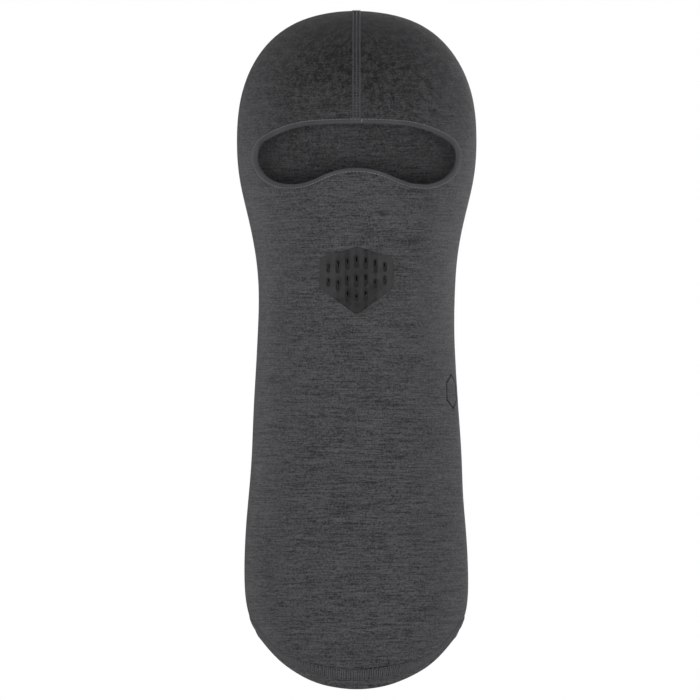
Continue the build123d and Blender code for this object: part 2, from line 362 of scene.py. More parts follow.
def hem_relief(angle, up):
    """The stitching draws the two layers together, least at the sides; the fold stands out below it."""
    lines = 0.3 * np.exp(-((up - LINE_LOW) / 0.8) ** 2) + 0.5 * np.exp(-((up - LINE_HIGH) / 0.8) ** 2)
    band = 0.25 * smoothstep(LINE_LOW - 1, LINE_LOW + 1, up) * smoothstep(LINE_HIGH + 1, LINE_HIGH - 1, up)
    puff = 0.18 * np.exp(-((up - 3.2) / 1.8) ** 2)
    frontal = 1 - 0.6 * smoothstep(45, 80, np.abs(np.degrees(wrapped(angle))))
    return puff - (lines + band) * frontal


def hem_lifted(angle, up, lift):
    points, out, upwards = hem_frame(angle, up)
    return points + out * (relief(points) + hem_relief(angle, up) + lift)[:, None]


# ---- meshes ----------------------------------------------------------------------
ROOT_BODY = list(frame["bodies"])[0]


class Shell:
    """Vertices and faces that are gathered into one mesh."""

    def __init__(self):
        self.points, self.faces, self.count = [], [], 0

    def add(self, points, faces):
        points = np.asarray(points, float).reshape(-1, 3)
        self.faces.extend([tuple(self.count + i for i in face) for face in faces])
        self.points.append(points)
        self.count += len(points)

    def loft(self, rings, closed_rings=True, closed_loft=False, capped=True):
        """Faces between rings that have the same number of points."""
        rings = np.asarray(rings, float)
        stations, around = rings.shape[:2]
        faces = []
        for i in range(stations if closed_loft else stations - 1):
            k = (i + 1) % stations
            for j in range(around if closed_rings else around - 1):
                m = (j + 1) % around
                faces.append((i * around + j, i * around + m, k * around + m, k * around + j))
        if capped and not closed_loft:
            faces.append(tuple(range(around))[::-1])
            faces.append(tuple((stations - 1) * around + j for j in range(around)))
        self.add(rings, faces)

    def thread(self, line, up, wide, high, sides=8, ends=0.45):
        """A short length of thread along a line, flattened towards up, with rounded ends."""
        line, up = np.asarray(line, float), np.asarray(up, float)
        along = np.gradient(line, axis=0)
        along /= np.linalg.norm(along, axis=1)[:, None]
        side = np.cross(along, up)
        side /= np.linalg.norm(side, axis=1)[:, None]
        up = np.cross(side, along)
        size = np.ones(len(line))
        size[0] = size[-1] = ends
        turn = np.linspace(0, 2 * math.pi, sides, endpoint=False)
        ring = np.cos(turn)[None, :, None] * side[:, None] * wide + np.sin(turn)[None, :, None] * up[:, None] * high
        self.loft(line[:, None] + ring * size[:, None, None])

    def piece(self, name, material, slot, *nodes, smooth=True):
        """Writes the mesh as a named piece that stands for CAD nodes."""
        mesh = bpy.data.meshes.new(name)
        mesh.from_pydata((np.concatenate(self.points) * METRE).tolist(), [], self.faces)
        mesh.validate()
        mesh.polygons.foreach_set("use_smooth", [smooth] * len(mesh.polygons))
        mesh.materials.append(material)
        thing = bpy.data.objects.new(name, mesh)
        bpy.context.scene.collection.objects.link(thing)
        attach(thing, ROOT_BODY)
        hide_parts(*nodes)
        return thing


def outward_faces(thing):
    """Turns a closed mesh's faces outwards."""
    import bmesh
    work = bmesh.new()
    work.from_mesh(thing.data)
    bmesh.ops.recalc_face_normals(work, faces=work.faces)
    work.to_mesh(thing.data)
    work.free()


def resampled(line, spacing):
    """Distances along a line, and how many steps of about that spacing fit it."""
    steps = np.linalg.norm(np.diff(line, axis=0), axis=1)
    length = np.concatenate([[0], np.cumsum(steps)])
    return length, max(2, round(length[-1] / spacing))


# ---- the eye opening's outline -----------------------------------------------------
def eye_outline(spacing):
    """The binding's middle line as x and z, with the direction away from the opening."""
    points, ways = [], []
    end, heading = np.array([0.0, CROWN - EYE_TOP_DROP]), 0.0
    for radius, turn in EYE_ARCS:
        turn = math.radians(turn)
        centre = end + radius * np.array([math.sin(heading), -math.cos(heading)])
        count = max(2, round(radius * turn / spacing))
        for k in range(count):
            bearing = heading - turn * k / count
            way = np.array([-math.sin(bearing), math.cos(bearing)])
            points.append(centre + radius * way)
            ways.append(way)
        heading -= turn
        end = centre + radius * np.array([-math.sin(heading), math.cos(heading)])
    rise = math.radians(EYE_ARCS[-1][1])
    away = np.array([-math.sin(heading), math.cos(heading)])
    run = (end[0] - NOSE_RADIUS * math.sin(rise)) / math.cos(rise)
    along = np.array([math.cos(heading), math.sin(heading)])
    count = max(2, round(run / spacing))
    for k in range(count):
        points.append(end + along * run * k / count)
        ways.append(away)
    end = end + along * run
    centre = end + NOSE_RADIUS * away
    count = max(2, round(NOSE_RADIUS * rise / spacing))
    for k in range(count + 1):
        bearing = heading + rise * k / count
        way = np.array([-math.sin(bearing), math.cos(bearing)])
        points.append(centre - NOSE_RADIUS * way)
        ways.append(way)
    points, ways = np.array(points), np.array(ways)
    flip = np.array([-1.0, 1.0])
    points = np.concatenate([points, (points * flip)[-2:0:-1]])
    ways = np.concatenate([ways, (ways * flip)[-2:0:-1]])
    return points, ways


EYE_LINE, EYE_AWAY = eye_outline(0.85)
EYE_RUN = np.concatenate([[0], np.cumsum(np.linalg.norm(np.diff(EYE_LINE, axis=0), axis=1))])


def loop_distance(points, line, away):
    """Signed distance of points to a closed outline, above zero on the away side."""
    gap = points[:, None] - line[None]
    nearest = np.argmin((gap ** 2).sum(2), axis=1)
    index = np.arange(len(points))
    offset = gap[index, nearest]
    side = (offset * away[nearest]).sum(1)
    reach = np.linalg.norm(offset, axis=1)
    return np.where(side > 0, reach, -reach)


# ---- the vent patch's outlines -------------------------------------------------------
def arc_loop(corners, radii, per_corner):
    """A convex outline with rounded corners, clockwise, and its outward directions."""
    points, ways = [], []
    count = len(corners)
    for k in range(count):
        here = np.array(corners[k], float)
        to_last = np.array(corners[k - 1], float) - here
        to_next = np.array(corners[(k + 1) % count], float) - here
        to_last /= np.linalg.norm(to_last)
        to_next /= np.linalg.norm(to_next)
        middle = to_last + to_next
        middle /= np.linalg.norm(middle)
        half_angle = math.acos(np.clip(to_last @ to_next, -1, 1)) / 2
        centre = here + middle * radii[k] / math.sin(half_angle)
        first = math.atan2(-to_last[0], to_last[1])
        last_way = np.array([to_last[1], -to_last[0]])
        if last_way @ middle > 0:
            last_way = -last_way
        sweep = math.pi - 2 * half_angle
        first = math.atan2(last_way[1], last_way[0])
        for m in range(per_corner + 1):
            bearing = first - sweep * m / per_corner
            way = np.array([math.cos(bearing), math.sin(bearing)])
            points.append(centre + radii[k] * way)
            ways.append(way)
    return np.array(points), np.array(ways)


def divided(points, ways, spacing):
    """The same closed outline with its long straights divided."""
    new_points, new_ways = [], []
    for k in range(len(points)):
        after = (k + 1) % len(points)
        gap = np.linalg.norm(points[after] - points[k])
        parts = max(1, round(gap / spacing))
        for m in range(parts):
            share = m / parts
            new_points.append(points[k] * (1 - share) + points[after] * share)
            way = ways[k] * (1 - share) + ways[after] * share
            new_ways.append(way / np.linalg.norm(way))
    return np.array(new_points), np.array(new_ways)


hexagon_corners = [
    (0, PATCH_Z + PATCH_UP),
    (PATCH_HALF_WIDTH, PATCH_Z + PATCH_SHOULDER),
    (PATCH_HALF_WIDTH, PATCH_Z - PATCH_WAIST),
    (0, PATCH_Z - PATCH_DOWN),
    (-PATCH_HALF_WIDTH, PATCH_Z - PATCH_WAIST),
    (-PATCH_HALF_WIDTH, PATCH_Z + PATCH_SHOULDER),
]
HEXAGON = divided(*arc_loop(hexagon_corners, [PATCH_CORNER] * 6, 8), 0.9)


def slot_loops(keep_share, radius):
    """The outlines of all slots; keep_share is how much of each is kept, from its top down."""
    loops = []
    middle_column = (len(SLOT_COLUMNS) - 1) / 2
    for column, slots in enumerate(SLOT_COLUMNS):
        x = (column - middle_column) * SLOT_PITCH
        for up, length in slots:
            top = PATCH_Z + up + length / 2
            length = max(length * keep_share, 2 * radius + 0.2)
            middle = top - (SLOT_RADIUS - radius) - length / 2
            reach = length / 2 - radius
            points, ways = [], []
            for end, start in ((1, 0.0), (-1, math.pi)):
                for k in range(9):
                    bearing = start + math.pi * k / 8
                    way = np.array([math.cos(bearing), math.sin(bearing)])
                    points.append(np.array([x, middle + end * reach]) + radius * way)
                    ways.append(way)
            loops.append(divided(np.array(points), np.array(ways), 0.8))
    return loops


FILM_SLOTS = slot_loops(1.0, SLOT_RADIUS)
CLOTH_SLOTS = slot_loops(0.46, 0.55)


def grid_inside(low, high, spacing, loops, clear):
    """Evenly spread points between two corners, kept clear of every outline."""
    rows = []
    lift = spacing * math.sqrt(3) / 2
    for k, z in enumerate(np.arange(low[1], high[1], lift)):
        for x in np.arange(low[0] + (k % 2) * spacing / 2, high[0], spacing):
            rows.append((x, z))
    points = np.array(rows)
    for (line, ways), outer in loops:
        distance = loop_distance(points, line, ways)
        points = points[distance < -clear] if outer else points[distance > clear]
    return points


def triangles_between(loops, inner_points):
    """Triangles that fill the first outline and leave the others open."""
    flat, edges, start = [], [], 0
    for (line, ways), outer in loops:
        flat.extend(line.tolist())
        count = len(line)
        edges.extend((start + k, start + (k + 1) % count) for k in range(count))
        start += count
    flat.extend(inner_points.tolist())
    found = delaunay_2d_cdt([Vector(p) for p in flat], edges, [], 0, 1e-7)
    sources = [origin[0] for origin in found[3]]
    triangles = [tuple(sources[i] for i in face) for face in found[2]]
    flat = np.array(flat)
    middles = np.array([flat[list(t)].mean(0) for t in triangles])
    keep = np.ones(len(triangles), bool)
    for (line, ways), outer in loops:
        distance = loop_distance(middles, *divided(line, ways, 0.25))
        keep &= (distance < 0) if outer else (distance > 0)
    kept = []
    for triangle, stays in zip(triangles, keep):
        if stays:
            a, b, c = (flat[i] for i in triangle)
            turned = (b[0] - a[0]) * (c[1] - a[1]) - (b[1] - a[1]) * (c[0] - a[0])
            kept.append(triangle if turned > 0 else triangle[::-1])
    return kept


def film(name, material, slot, node, outer, holes, bottom, top, edge, inset):
    """A thin film on the front of the cloth, with rounded edges and holes."""
    loops = [((outer[0] - outer[1] * inset, outer[1]), True)]
    loops += [((line, ways), False) for line, ways in holes]
    low, high = outer[0].min(0), outer[0].max(0)
    filling = grid_inside(low, high, 1.5, loops, 0.75)
    triangles = triangles_between(loops, filling)
    shell = Shell()
    profile = [(0.0, bottom), (0.0, top - edge), (edge * 0.3, top - edge * 0.3), (edge, top)]
    layers = []
    for share, lift in profile:
        rings = []
        for (line, ways), is_outer in loops:
            moved = line - ways * share if is_outer else line + ways * share
            rings.append(moved)
        flat = np.concatenate(rings)
        layers.append(front_points(flat[:, 0], flat[:, 1], np.full(len(flat), lift)))
    rim = len(layers[0])
    for layer in layers:
        shell.add(layer, [])
    face_list = []
    for step in range(len(profile) - 1):
        start = 0
        for (line, ways), is_outer in loops:
            count = len(line)
            for k in range(count):
                a, b = start + k, start + (k + 1) % count
                quad = (step * rim + a, step * rim + b, (step + 1) * rim + b, (step + 1) * rim + a)
                face_list.append(quad if is_outer else quad)
            start += count
    count = 4 * rim
    top_points = front_points(filling[:, 0], filling[:, 1], np.full(len(filling), top))
    low_points = front_points(filling[:, 0], filling[:, 1], np.full(len(filling), bottom))
    shell.add(top_points, [])
    shell.add(low_points, [])
    inner = len(filling)
    for triangle in triangles:
        face_list.append(tuple(3 * rim + i if i < rim else count + i - rim for i in triangle))
        face_list.append(tuple(i if i < rim else count + inner + i - rim for i in triangle)[::-1])
    shell.faces = face_list
    thing = shell.piece(name, material, slot, node)
    outward_faces(thing)
    return thing


# ---- finishes ----------------------------------------------------------------------
class Finish:
    """A material whose nodes are added one call at a time."""

    def __init__(self, name):
        self.material = bpy.data.materials.new(name)
        self.material.use_nodes = True
        self.tree = self.material.node_tree
        self.shader = self.tree.nodes["Principled BSDF"]

    def add(self, kind, inputs=(), **settings):
        node = self.tree.nodes.new("ShaderNode" + kind)
        for key, value in settings.items():
            setattr(node, key, value)
        for key, value in dict(inputs).items():
            if isinstance(value, bpy.types.NodeSocket):
                self.tree.links.new(value, node.inputs[key])
            else:
                node.inputs[key].default_value = value
        return node

    def math(self, operation, first, second=None, third=None):
        inputs = {0: first}
        if second is not None:
            inputs[1] = second
        if third is not None:
            inputs[2] = third
        return self.add("Math", inputs, operation=operation).outputs[0]

    def noise(self, place, scale, detail=2.0, rough=0.5):
        inputs = {"Vector": place, "Scale": scale, "Detail": detail, "Roughness": rough}
        return self.add("TexNoise", inputs).outputs["Fac"]

    def ranged(self, value, low, high, to_low, to_high):
        inputs = {"Value": value, "From Min": low, "From Max": high, "To Min": to_low, "To Max": to_high}
        return self.add("MapRange", inputs).outputs["Result"]

    def blend(self, share, first, second):
        node = self.add("Mix", data_type="RGBA", clamp_factor=True)
        for socket, value in ((node.inputs["Factor"], share), (node.inputs[6], first), (node.inputs[7], second)):
            if isinstance(value, bpy.types.NodeSocket):
                self.tree.links.new(value, socket)
            else:
                socket.default_value = value
        return node.outputs[2]

    def shade(self, **values):
        for key, value in values.items():
            socket = self.shader.inputs[key.replace("_", " ")]
            if isinstance(value, bpy.types.NodeSocket):
                self.tree.links.new(value, socket)
            else:
                socket.default_value = value

    def bump(self, height, distance, strength):
        inputs = {"Height": height, "Distance": distance * METRE, "Strength": strength}
        return self.add("Bump", inputs).outputs["Normal"]


def grey(value, tint=(1.0, 1.0, 1.0)):
    return (value * tint[0], value * tint[1], value * tint[2], 1.0)


LILAC = (1.0, 0.985, 1.10)
COOL = (0.99, 0.99, 1.03)


def jersey_finish(name, dark, light, hood_shaded_dark, hood_shaded_light):
    """Heathered merino jersey: the yarn's own shades run along the courses."""
    make = Finish(name)
    place = make.add("UVMap", uv_map="knit").outputs[0]
    parts = make.add("SeparateXYZ", {0: place})
    round_tube, up = parts.outputs[0], parts.outputs[1]
    turn = make.math("DIVIDE", round_tube, KNIT_RADIUS)
    east = make.math("MULTIPLY", make.math("COSINE", turn), KNIT_RADIUS)
    north = make.math("MULTIPLY", make.math("SINE", turn), KNIT_RADIUS)

    def yarn_place(length, tall):
        """Streaks of one length over the face, drawn out where the cloth is stretched round the sides."""
        inputs = {
            0: make.math("DIVIDE", east, length * 2.6),
            1: make.math("DIVIDE", north, length),
            2: make.math("DIVIDE", up, tall),
        }
        return make.add("CombineXYZ", inputs).outputs[0]

    def weighed(*parts):
        total = make.math("MULTIPLY", *parts[0])
        for noise, weight in parts[1:]:
            total = make.math("MULTIPLY_ADD", noise, weight, total)
        return total

    course_streak = make.noise(yarn_place(17.0, 0.85), 1.0, 2.0, 0.6)
    long_streak = make.noise(yarn_place(6.5, 0.95), 1.0, 2.0, 0.55)
    short_streak = make.noise(yarn_place(2.6, 0.8), 1.0, 2.0, 0.55)
    mottle = make.noise(yarn_place(1.1, 1.1), 1.0, 1.0, 0.5)
    blotch = make.noise(yarn_place(4.0, 4.5), 1.0, 3.0, 0.6)
    cloud = make.noise(yarn_place(30.0, 16.0), 1.0, 2.0, 0.5)
    body_share = weighed(
        (course_streak, 0.27), (long_streak, 0.19), (short_streak, 0.20), (mottle, 0.28), (cloud, 0.06),
    )
    hood_share = weighed(
        (course_streak, 0.14), (long_streak, 0.08), (short_streak, 0.18), (mottle, 0.28), (blotch, 0.32),
    )
    body_share = make.ranged(body_share, 0.40, 0.60, 0.0, 1.0)
    hood_share = make.ranged(hood_share, 0.41, 0.59, 0.0, 1.0)
    # Painted shade: the hood takes darker tones than the neck, and the crown is darkened further towards its top,
    # where less light falls.
    heights = make.add("SeparateXYZ", {0: make.add("TexCoord").outputs["Object"]})
    hood = make.ranged(heights.outputs[2], -0.118, -0.052, 0.0, 1.0)
    crown = make.ranged(heights.outputs[2], -0.055, -0.012, 0.0, 0.34)
    body_tone = make.blend(body_share, grey(dark, COOL), grey(light, COOL))
    hood_share = make.math("SUBTRACT", hood_share, crown)
    hood_shaded_tone = make.blend(hood_share, grey(hood_shaded_dark, COOL), grey(hood_shaded_light, COOL))
    # Columns of V-shaped stitches.
    across = make.math("FRACT", make.math("DIVIDE", round_tube, WALE))
    ridge = make.math("MULTIPLY", make.math("ABSOLUTE", make.math("SUBTRACT", across, 0.5)), 2.0)
    phase = make.math("ADD", make.math("DIVIDE", up, COURSE), make.math("MULTIPLY", ridge, 0.55))
    legs = make.math("SINE", make.math("MULTIPLY", phase, 2 * math.pi))
    groove = make.math("SUBTRACT", 1.0, make.math("POWER", ridge, 3.0))
    stitch = make.math("MULTIPLY", make.math("MULTIPLY_ADD", legs, 0.5, 0.5), groove)
    # Painted shade: the base colour is darkened in the low parts of the stitches.
    painted_knit_shade = make.ranged(stitch, 0.0, 0.5, 0.78, 1.0)
    # Painted shade on the hem: the base colour is darkened across the stitched band between the looper bars, and
    # most in the crease along its upper needle line.
    above = make.add("SeparateXYZ", {0: make.add("UVMap", uv_map="hem").outputs[0]}).outputs[0]
    from_middle = make.math("ABSOLUTE", make.math("SUBTRACT", above, (LINE_LOW + LINE_HIGH) / 2))
    band = make.ranged(from_middle, 3.0, 4.0, 0.76, 1.0)
    from_crease = make.math("ABSOLUTE", make.math("SUBTRACT", above, LINE_HIGH + 0.5))
    crease = make.ranged(from_crease, 0.3, 1.1, 0.62, 1.0)
    painted_knit_shade = make.math("MULTIPLY", painted_knit_shade, make.math("MULTIPLY", band, crease))
    tone = make.add("Mix", data_type="RGBA", blend_type="MULTIPLY")
    make.tree.links.new(make.blend(hood, body_tone, hood_shaded_tone), tone.inputs[6])
    shadow = make.add("CombineColor", {0: painted_knit_shade, 1: painted_knit_shade, 2: painted_knit_shade}).outputs[0]
    make.tree.links.new(shadow, tone.inputs[7])
    tone.inputs["Factor"].default_value = 1.0
    fibres = make.noise(yarn_place(0.35, 0.2), 1.0, 2.0, 0.6)
    surface = make.math("ADD", stitch, make.math("MULTIPLY", fibres, 0.45))
    surface = make.math("ADD", surface, make.math("MULTIPLY", short_streak, 0.6))
    make.shade(
        Base_Color=tone.outputs[2],
        Roughness=0.92,
        Sheen_Weight=0.28,
        Sheen_Roughness=0.42,
        Sheen_Tint=grey(0.55, COOL),
        Specular_IOR_Level=0.18,
        Normal=make.bump(surface, 0.22, 0.55),
    )
    return make.material


def thread_finish(name, dark, light, tint, roughness):
    """Twisted sewing thread: its plies cross the line at a slant."""
    make = Finish(name)
    place = make.add("TexCoord").outputs["Object"]
    ply = make.noise(place, 2600.0, 2.0, 0.6)
    patchy = make.noise(place, 210.0, 2.0, 0.5)
    share = make.math("ADD", make.math("MULTIPLY", ply, 0.6), make.math("MULTIPLY", patchy, 0.4))
    share = make.ranged(share, 0.35, 0.65, 0.0, 1.0)
    make.shade(
        Base_Color=make.blend(share, grey(dark, tint), grey(light, tint)),
        Roughness=roughness,
        Sheen_Weight=0.15,
        Sheen_Roughness=0.5,
        Specular_IOR_Level=0.3,
        Normal=make.bump(ply, 0.12, 0.5),
    )
    return make.material


def tape_finish():
    """Smooth elastic tape with fine ribs along it."""
    make = Finish("elastic_tape")
    parts = make.add("SeparateXYZ", {0: make.add("UVMap", uv_map="knit").outputs[0]})
    along, across = parts.outputs[0], parts.outputs[1]
    ribs = make.math("SINE", make.math("MULTIPLY", across, 2 * math.pi / 0.42))
    picks = make.math("SINE", make.math("MULTIPLY", along, 2 * math.pi / 0.5))
    place = make.add("TexCoord").outputs["Object"]
    fine = make.noise(place, 1400.0, 2.0, 0.6)
    slow = make.noise(place, 90.0, 2.0, 0.5)
    share = make.ranged(make.math("ADD", make.math("MULTIPLY", fine, 0.5), make.math("MULTIPLY", slow, 0.5)), 0.35, 0.65, 0.0, 1.0)
    surface = make.math("ADD", make.math("MULTIPLY", ribs, 0.5), make.math("MULTIPLY", picks, 0.35))
    surface = make.math("ADD", surface, fine)
    make.shade(
        Base_Color=make.blend(share, grey(0.048, LILAC), grey(0.066, LILAC)),
        Roughness=0.7,
        Sheen_Weight=0.12,
        Sheen_Roughness=0.4,
        Specular_IOR_Level=0.2,
        Normal=make.bump(surface, 0.06, 0.5),
    )
    return make.material


def film_finish():
    """Satin black elastomer with a faint grain and shallow ribs between its slots."""
    make = Finish("satin_film")
    place = make.add("TexCoord").outputs["Object"]
    grain = make.noise(place, 1900.0, 3.0, 0.6)
    wear = make.noise(place, 130.0, 3.0, 0.55)
    east = make.add("SeparateXYZ", {0: place}).outputs[0]
    # Painted highlight: the colour is a little lighter on the shallow ribs between the slot columns.
    bands = make.math("COSINE", make.math("MULTIPLY", east, 2 * math.pi / (SLOT_PITCH * METRE)))
    share = make.math("ADD", make.ranged(wear, 0.35, 0.65, 0.0, 0.4), make.math("MULTIPLY", bands, -0.10))
    # Faint lines run down the film, and a painted reflection of the side lights makes it paler towards its left and
    # right sides.
    down = make.add("VectorMath", {0: place, 1: (1100.0, 1100.0, 90.0)}, operation="MULTIPLY").outputs[0]
    lines = make.noise(down, 1.0, 2.0, 0.5)
    share = make.math("ADD", share, make.ranged(lines, 0.35, 0.65, -0.1, 0.22))
    share = make.math("ADD", share, make.ranged(make.math("ABSOLUTE", east), 0.006, 0.020, 0.0, 0.75))
    surface = make.math("ADD", grain, make.math("MULTIPLY", bands, -0.6))
    surface = make.math("ADD", surface, make.math("MULTIPLY", lines, 0.8))
    make.shade(
        Base_Color=make.blend(share, grey(0.0115), grey(0.041)),
        Roughness=make.ranged(wear, 0.35, 0.65, 0.46, 0.58),
        Specular_IOR_Level=0.14,
        Normal=make.bump(surface, 0.05, 0.5),
    )
    return make.material


def glue_finish():
    """Dark adhesive film, pressed into the knit."""
    make = Finish("dark_adhesive")
    place = make.add("TexCoord").outputs["Object"]
    print_through = make.noise(place, 1300.0, 2.0, 0.5)
    make.shade(
        Base_Color=make.blend(print_through, grey(0.015), grey(0.025)),
        Roughness=make.ranged(print_through, 0.3, 0.7, 0.7, 0.85),
        Specular_IOR_Level=0.1,
        Normal=make.bump(print_through, 0.12, 0.6),
    )
    return make.material


def transfer_finish():
    """Matt heat transfer that takes the print of the knit under it."""
    make = Finish("matt_transfer")
    place = make.add("TexCoord").outputs["Object"]
    print_through = make.noise(place, 1100.0, 2.0, 0.5)
    worn = make.noise(place, 240.0, 3.0, 0.6)
    make.shade(
        Base_Color=make.blend(worn, grey(0.010), grey(0.018)),
        Roughness=make.ranged(worn, 0.3, 0.7, 0.6, 0.75),
        Specular_IOR_Level=0.12,
        Normal=make.bump(print_through, 0.1, 0.5),
    )
    return make.material


JERSEY = jersey_finish("heather_jersey", 0.022, 0.106, 0.009, 0.066)
# Painted light: the inside of the cloth is a lighter copy of the jersey, standing in for light that barely reaches
# the hollow.
JERSEY_INSIDE_PAINTED_LIGHT = jersey_finish("heather_jersey_inside_painted_light", 0.034, 0.138, 0.034, 0.138)
SEAM_THREAD = thread_finish("seam_thread", 0.042, 0.068, LILAC, 0.7)
# Painted light: the hem's thread is a lighter copy of the seam thread, so its bars stand out against the shaded
# gaps.
HEM_THREAD_PAINTED_LIGHTER = thread_finish("hem_thread_painted_lighter", 0.056, 0.086, LILAC, 0.7)
BINDING_THREAD = thread_finish("binding_thread", 0.10, 0.19, COOL, 0.6)
TAPE = tape_finish()
FILM = film_finish()
ADHESIVE = glue_finish()
TRANSFER = transfer_finish()


# ---- the cloth -----------------------------------------------------------------------
def cloth_lattice():
    """Rows of the cloth's outside: the turned-up edge, the fold, the wall and the dome."""
    angles = np.arange(COLUMNS) * 2 * math.pi / COLUMNS
    angles = wrapped(angles)
    rows, heights, above_edge = [], [], []
    base, out, upwards = hem_frame(angles, np.full(COLUMNS, FOLD_RADIUS))
    starts = np.interp(angles, FINE_ANGLES, START_DROPS)
    # Courses run level, so the hem cuts across them.
    course = TUBE_HIGH[2] - TUBE_LOW[2] - HEM_ROLL - starts
    for up in (14.0, 13.3, 12.7, 12.1, 10.6, 8.8, 6.9, 6.3, 5.7, 4.4, 2.8):
        at = np.full(COLUMNS, up)
        rows.append(hem_lifted(angles, at, -2 * FOLD_RADIUS + 0 * at))
        heights.append(course - at)
        above_edge.append(up)
    centre = base - out * FOLD_RADIUS
    offset = (relief(base) + hem_relief(angles, np.full(COLUMNS, FOLD_RADIUS)))[:, None] * out
    for bend in np.linspace(math.pi, 0, 7)[:-1]:
        around = math.cos(bend) * out - math.sin(bend) * upwards
        rows.append(centre + offset + FOLD_RADIUS * around)
        heights.append(course + 0.9 * math.cos(bend))
        above_edge.append(0.5)
    near = [FOLD_RADIUS, 2.0, 3.0, 4.2, 5.1, 5.7, 6.3, 6.9, 7.8, 9.5, 11.2, 12.1, 12.7, 13.3, 14.2, 15.6]
    for up in near:
        at = np.full(COLUMNS, up)
        rows.append(hem_lifted(angles, at, 0 * at))
        heights.append(course + at)
        above_edge.append(up)
    top = HEM_ROLL + starts - HEAD_DROP
    for k in range(1, WALL_ROWS + 1):
        up = near[-1] + (top - near[-1]) * k / WALL_ROWS
        points = hem_points(angles, up)
        rows.append(lifted(points, normal_at(points), 0 * up))
        heights.append(course + up)
    # Over the dome the courses are confocal ellipses that close on the crown seam.
    focus = math.sqrt(HEAD_HALF_DEPTH ** 2 - HEAD_HALF_WIDTH ** 2)
    widest = math.atanh(HEAD_HALF_WIDTH / HEAD_HALF_DEPTH)
    half, front, back, mid = section(math.sqrt(HEAD_DROP))
    reach = np.where(np.cos(angles) > 0, front, back)
    climb = course + top
    last = points
    for k in range(1, DOME_ROWS + 1):
        spread = widest * math.cos(math.pi / 2 * k / DOME_ROWS)
        if k == DOME_ROWS:
            spread = 0.0
        x = focus * math.sinh(spread) * np.sin(angles)
        y = DOME_MID - focus * math.cosh(spread) * np.cos(angles) * reach / HEAD_HALF_DEPTH
        low, high = np.full(COLUMNS, 0.001), np.full(COLUMNS, math.sqrt(HEAD_DROP) + 0.6)
        for halving in range(44):
            root = (low + high) / 2
            beyond = outside(x, y, root) > 0
            low, high = np.where(beyond, root, low), np.where(beyond, high, root)
        points = np.stack([x, y, CROWN - root ** 2], 1)
        climb = climb + np.linalg.norm(points - last, axis=1)
        last = points
        rows.append(lifted(points, normal_at(points), 0 * x))
        heights.append(climb)
    above_edge += [60.0] * (len(rows) - len(above_edge))
    return np.array(rows), np.array(heights), np.array(above_edge)


LATTICE, LATTICE_UP, ABOVE_EDGE = cloth_lattice()
ROW_COUNT = len(LATTICE)
FIRST_WALL_ROW = 17


def near_lattice(x, z):
    """Column and row of the lattice, as decimals, for points of the front."""
    columns = np.concatenate([np.arange(-62, 63)])
    rows = np.arange(FIRST_WALL_ROW + 60, ROW_COUNT - 12)
    grid = LATTICE[np.ix_(rows, columns % COLUMNS)].reshape(-1, 3)
    labels = np.stack(np.meshgrid(columns, rows), -1).reshape(-1, 2).astype(float)
    flat = grid[:, [0, 2]]
    found = np.zeros((len(x), 2))
    for k, point in enumerate(np.stack([x, z], 1)):
        nearest = np.argpartition(((flat - point) ** 2).sum(1), 6)[:6]
        away = flat[nearest] - point
        matrix = np.concatenate([np.ones((6, 1)), away], 1)
        found[k] = np.linalg.lstsq(matrix, labels[nearest], rcond=None)[0][0]
    return found


